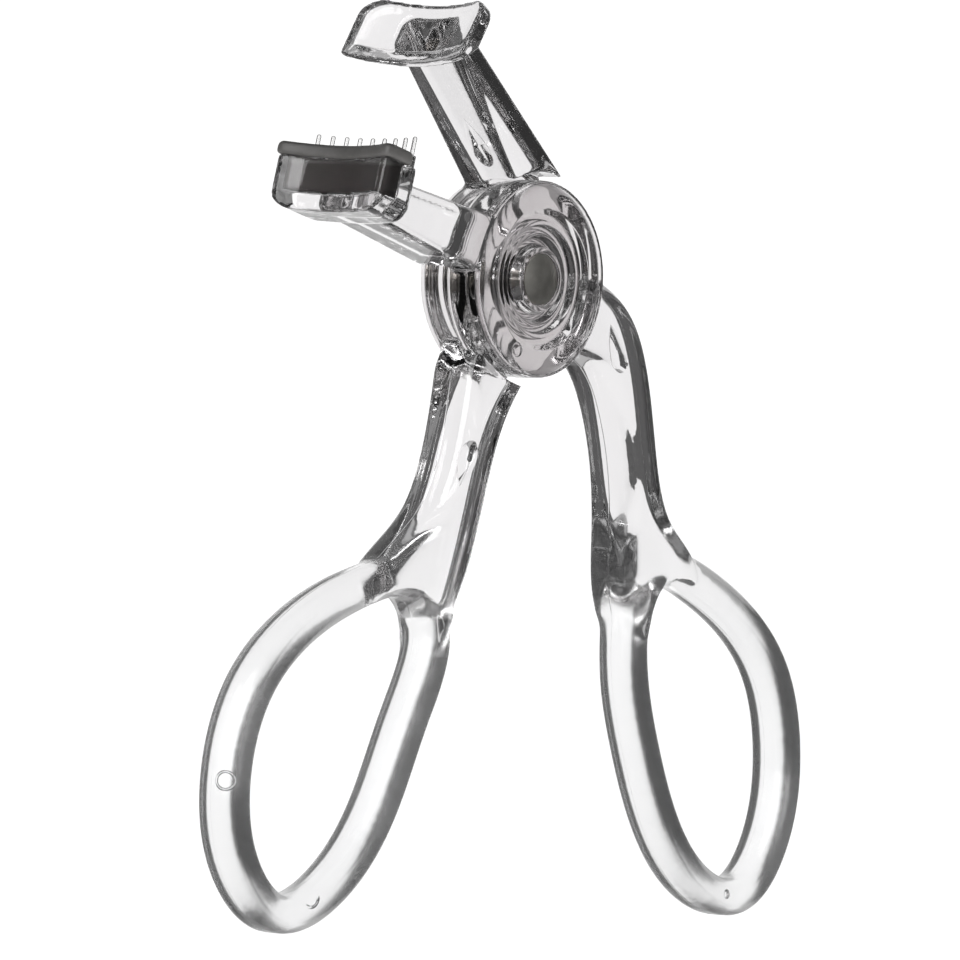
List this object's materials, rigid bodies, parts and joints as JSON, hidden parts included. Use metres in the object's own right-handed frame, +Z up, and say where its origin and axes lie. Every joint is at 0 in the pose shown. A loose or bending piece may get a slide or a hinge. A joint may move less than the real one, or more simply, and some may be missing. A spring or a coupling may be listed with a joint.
{
  "type": "scissor eyelash curler",
  "caption": "Clear plastic scissor-action eyelash curler with two finger loops, a riveted hub, a curved press jaw and a silicone pad backed by a lash comb.",
  "frame": {"origin": "middle of the hub, on the pivot axis and midway between the two discs", "axes": "+Z up with the finger loops hanging below, -X towards the jaws' open side, Y along the pivot; the rivet's polished dome faces -Y"},
  "size_m": [0.1003, 0.0178, 0.1054],
  "materials": {
    "clear_plastic": "gloss",
    "pad_silicone": "satin",
    "rivet_steel": "satin",
    "washer_plastic": "matte"
  },
  "bodies": {
    "press_half": {"press_arm": "clear_plastic", "rivet_stud": "rivet_steel", "rivet_cap": "rivet_steel", "friction_washer": "washer_plastic"},
    "pad_half": {"pad_arm": "clear_plastic", "silicone_pad": "pad_silicone", "lash_comb": "clear_plastic"}
  },
  "joints": [
    {"name": "squeeze_pivot", "type": "hinge", "parent": "press_half", "child": "pad_half", "pos_m": [0, 0, 0], "axis": [0, 1, 0], "range_deg": [-46, 24]}
  ]
}
